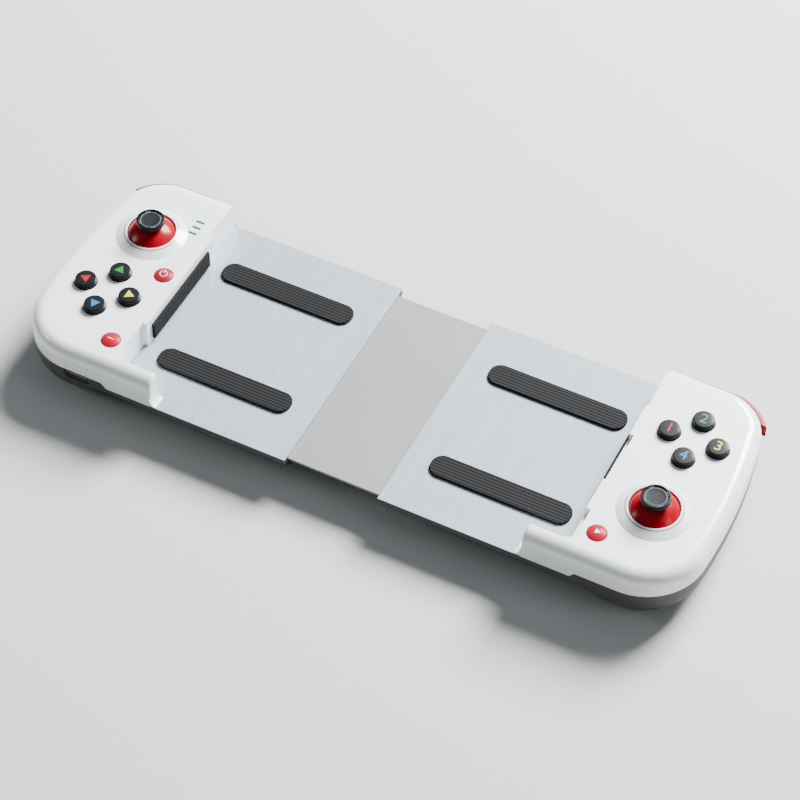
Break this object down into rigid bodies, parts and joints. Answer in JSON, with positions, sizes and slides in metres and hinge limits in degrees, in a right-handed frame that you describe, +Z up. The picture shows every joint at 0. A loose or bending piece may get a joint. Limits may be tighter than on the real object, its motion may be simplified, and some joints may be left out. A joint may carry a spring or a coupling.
{
  "type": "mobile gamepad",
  "caption": "Telescoping gamepad: two handles with thumbsticks, round buttons and shoulder buttons slide apart on a flat bridge to clamp a handheld device between them.",
  "frame": {"origin": "on the surface it lies on, below the middle of the whole gamepad", "axes": "+X from the left handle to the right one, +Y away from the player, +Z up out of the buttons"},
  "size_m": [0.2458, 0.0896, 0.0314],
  "materials": {
    "slider": "fine matte, light grey",
    "cable": "amber film",
    "cover": "white, soft gloss",
    "tray": "dark grey, fine texture",
    "pad": "dark grey",
    "board": "green solder mask",
    "mat": "translucent grey silicone",
    "switch": "black",
    "screw": "zinc plated",
    "spring": "bright wire",
    "mechanism": "black",
    "pin": "ground steel",
    "dome": "bright red",
    "grip": "black, slight sheen",
    "button": "black",
    "red_button": "red",
    "bumper": "red",
    "trigger": "black",
    "light": "green, lit",
    "port": "formed steel",
    "cell": "silver wrap"
  },
  "bodies": {
    "bridge": {"centre_slider": "slider", "ribbon_cable": "cable"},
    "left_half": {"left_upper_shell": "cover", "left_lower_shell": "tray", "left_clamp_pad": "pad", "left_floor_pads": "pad", "left_main_board": "board", "left_keypad_membrane": "mat", "left_tact_switches": "switch", "left_case_screws": "screw", "left_tension_springs": "spring", "left_stick_housing": "mechanism", "left_bumper_pin": "pin", "left_trigger_pin": "pin", "left_trigger_spring": "spring", "led_light_pipe": "light", "charging_port": "port", "battery": "cell"},
    "left_gimbal": {"left_stick_gimbal": "mechanism"},
    "left_hub": {"left_stick_hub": "mechanism"},
    "left_stick": {"left_stick_shaft": "pin", "left_stick_dome": "dome", "left_stick_cap": "grip"},
    "dpad_left_button": {"dpad_left_button": "button"},
    "dpad_up_button": {"dpad_up_button": "button"},
    "dpad_right_button": {"dpad_right_button": "button"},
    "dpad_down_button": {"dpad_down_button": "button"},
    "power_button": {"power_button": "red_button"},
    "select_button": {"select_button": "red_button"},
    "left_bumper": {"left_bumper": "bumper"},
    "left_trigger": {"left_trigger": "trigger"},
    "right_half": {"right_upper_shell": "cover", "right_lower_shell": "tray", "right_clamp_pad": "pad", "right_floor_pads": "pad", "right_main_board": "board", "right_keypad_membrane": "mat", "right_tact_switches": "switch", "right_case_screws": "screw", "right_tension_springs": "spring", "right_stick_housing": "mechanism", "right_bumper_pin": "pin", "right_trigger_pin": "pin", "right_trigger_spring": "spring"},
    "right_gimbal": {"right_stick_gimbal": "mechanism"},
    "right_hub": {"right_stick_hub": "mechanism"},
    "right_stick": {"right_stick_shaft": "pin", "right_stick_dome": "dome", "right_stick_cap": "grip"},
    "face_button_1": {"face_button_1": "button"},
    "face_button_2": {"face_button_2": "button"},
    "face_button_3": {"face_button_3": "button"},
    "face_button_4": {"face_button_4": "button"},
    "start_button": {"start_button": "red_button"},
    "right_bumper": {"right_bumper": "bumper"},
    "right_trigger": {"right_trigger": "trigger"}
  },
  "joints": [
    {"name": "left_half_slide", "type": "slide", "parent": "bridge", "child": "left_half", "axis": [-1, 0, 0], "range_m": [-0.0165, 0.0065], "stiffness_N_per_m": 400, "deforming": ["left_tension_springs", "ribbon_cable"]},
    {"name": "left_stick_forward_tilt", "type": "hinge", "parent": "left_half", "child": "left_gimbal", "pos_m": [-0.101, 0.015, 0.01795], "axis": [1, 0, 0], "range_deg": [-20, 20], "stiffness_Nm_per_rad": 0.01},
    {"name": "left_stick_sideways_tilt", "type": "hinge", "parent": "left_gimbal", "child": "left_hub", "pos_m": [-0.101, 0.015, 0.01795], "axis": [0, 1, 0], "range_deg": [-20, 20], "stiffness_Nm_per_rad": 0.01},
    {"name": "left_stick_click", "type": "slide", "parent": "left_hub", "child": "left_stick", "axis": [0, 0, -1], "range_m": [0, 0.0005], "stiffness_N_per_m": 100, "springref_m": -0.001},
    {"name": "dpad_left_button_press", "type": "slide", "parent": "left_half", "child": "dpad_left_button", "axis": [0, 0, -1], "range_m": [0, 0.0012], "stiffness_N_per_m": 20, "springref_m": -0.001, "deforming": ["left_keypad_membrane"]},
    {"name": "dpad_up_button_press", "type": "slide", "parent": "left_half", "child": "dpad_up_button", "axis": [0, 0, -1], "range_m": [0, 0.0012], "stiffness_N_per_m": 20, "springref_m": -0.001, "deforming": ["left_keypad_membrane"]},
    {"name": "dpad_right_button_press", "type": "slide", "parent": "left_half", "child": "dpad_right_button", "axis": [0, 0, -1], "range_m": [0, 0.0012], "stiffness_N_per_m": 20, "springref_m": -0.001, "deforming": ["left_keypad_membrane"]},
    {"name": "dpad_down_button_press", "type": "slide", "parent": "left_half", "child": "dpad_down_button", "axis": [0, 0, -1], "range_m": [0, 0.0012], "stiffness_N_per_m": 20, "springref_m": -0.001, "deforming": ["left_keypad_membrane"]},
    {"name": "power_button_press", "type": "slide", "parent": "left_half", "child": "power_button", "axis": [0, 0, -1], "range_m": [0, 0.0005], "stiffness_N_per_m": 12, "springref_m": -0.001},
    {"name": "select_button_press", "type": "slide", "parent": "left_half", "child": "select_button", "axis": [0, 0, -1], "range_m": [0, 0.0005], "stiffness_N_per_m": 12, "springref_m": -0.001},
    {"name": "left_bumper_press", "type": "hinge", "parent": "left_half", "child": "left_bumper", "pos_m": [-0.0895, 0.0368, 0.018], "axis": [0, 0, 1], "range_deg": [0, 2.5], "stiffness_Nm_per_rad": 0.01, "springref_deg": -2.86},
    {"name": "left_trigger_pull", "type": "hinge", "parent": "left_half", "child": "left_trigger", "pos_m": [-0.1015, 0.0356, 0.0124], "axis": [1, 0, 0], "range_deg": [-14, 0], "stiffness_Nm_per_rad": 0.003, "springref_deg": 17.19, "deforming": ["left_trigger_spring"]},
    {"name": "right_half_slide", "type": "slide", "parent": "bridge", "child": "right_half", "axis": [1, 0, 0], "range_m": [-0.0165, 0.0065], "stiffness_N_per_m": 400, "deforming": ["right_tension_springs", "ribbon_cable"]},
    {"name": "right_stick_forward_tilt", "type": "hinge", "parent": "right_half", "child": "right_gimbal", "pos_m": [0.101, -0.017, 0.01795], "axis": [1, 0, 0], "range_deg": [-20, 20], "stiffness_Nm_per_rad": 0.01},
    {"name": "right_stick_sideways_tilt", "type": "hinge", "parent": "right_gimbal", "child": "right_hub", "pos_m": [0.101, -0.017, 0.01795], "axis": [0, 1, 0], "range_deg": [-20, 20], "stiffness_Nm_per_rad": 0.01},
    {"name": "right_stick_click", "type": "slide", "parent": "right_hub", "child": "right_stick", "axis": [0, 0, -1], "range_m": [0, 0.0005], "stiffness_N_per_m": 100, "springref_m": -0.001},
    {"name": "face_button_1_press", "type": "slide", "parent": "right_half", "child": "face_button_1", "axis": [0, 0, -1], "range_m": [0, 0.0012], "stiffness_N_per_m": 20, "springref_m": -0.001, "deforming": ["right_keypad_membrane"]},
    {"name": "face_button_2_press", "type": "slide", "parent": "right_half", "child": "face_button_2", "axis": [0, 0, -1], "range_m": [0, 0.0012], "stiffness_N_per_m": 20, "springref_m": -0.001, "deforming": ["right_keypad_membrane"]},
    {"name": "face_button_3_press", "type": "slide", "parent": "right_half", "child": "face_button_3", "axis": [0, 0, -1], "range_m": [0, 0.0012], "stiffness_N_per_m": 20, "springref_m": -0.001, "deforming": ["right_keypad_membrane"]},
    {"name": "face_button_4_press", "type": "slide", "parent": "right_half", "child": "face_button_4", "axis": [0, 0, -1], "range_m": [0, 0.0012], "stiffness_N_per_m": 20, "springref_m": -0.001, "deforming": ["right_keypad_membrane"]},
    {"name": "start_button_press", "type": "slide", "parent": "right_half", "child": "start_button", "axis": [0, 0, -1], "range_m": [0, 0.0005], "stiffness_N_per_m": 12, "springref_m": -0.001},
    {"name": "right_bumper_press", "type": "hinge", "parent": "right_half", "child": "right_bumper", "pos_m": [0.0895, 0.0368, 0.018], "axis": [0, 0, 1], "range_deg": [-2.5, 0], "stiffness_Nm_per_rad": 0.01, "springref_deg": 2.86},
    {"name": "right_trigger_pull", "type": "hinge", "parent": "right_half", "child": "right_trigger", "pos_m": [0.1015, 0.0356, 0.0124], "axis": [1, 0, 0], "range_deg": [-14, 0], "stiffness_Nm_per_rad": 0.003, "springref_deg": 17.19, "deforming": ["right_trigger_spring"]}
  ]
}
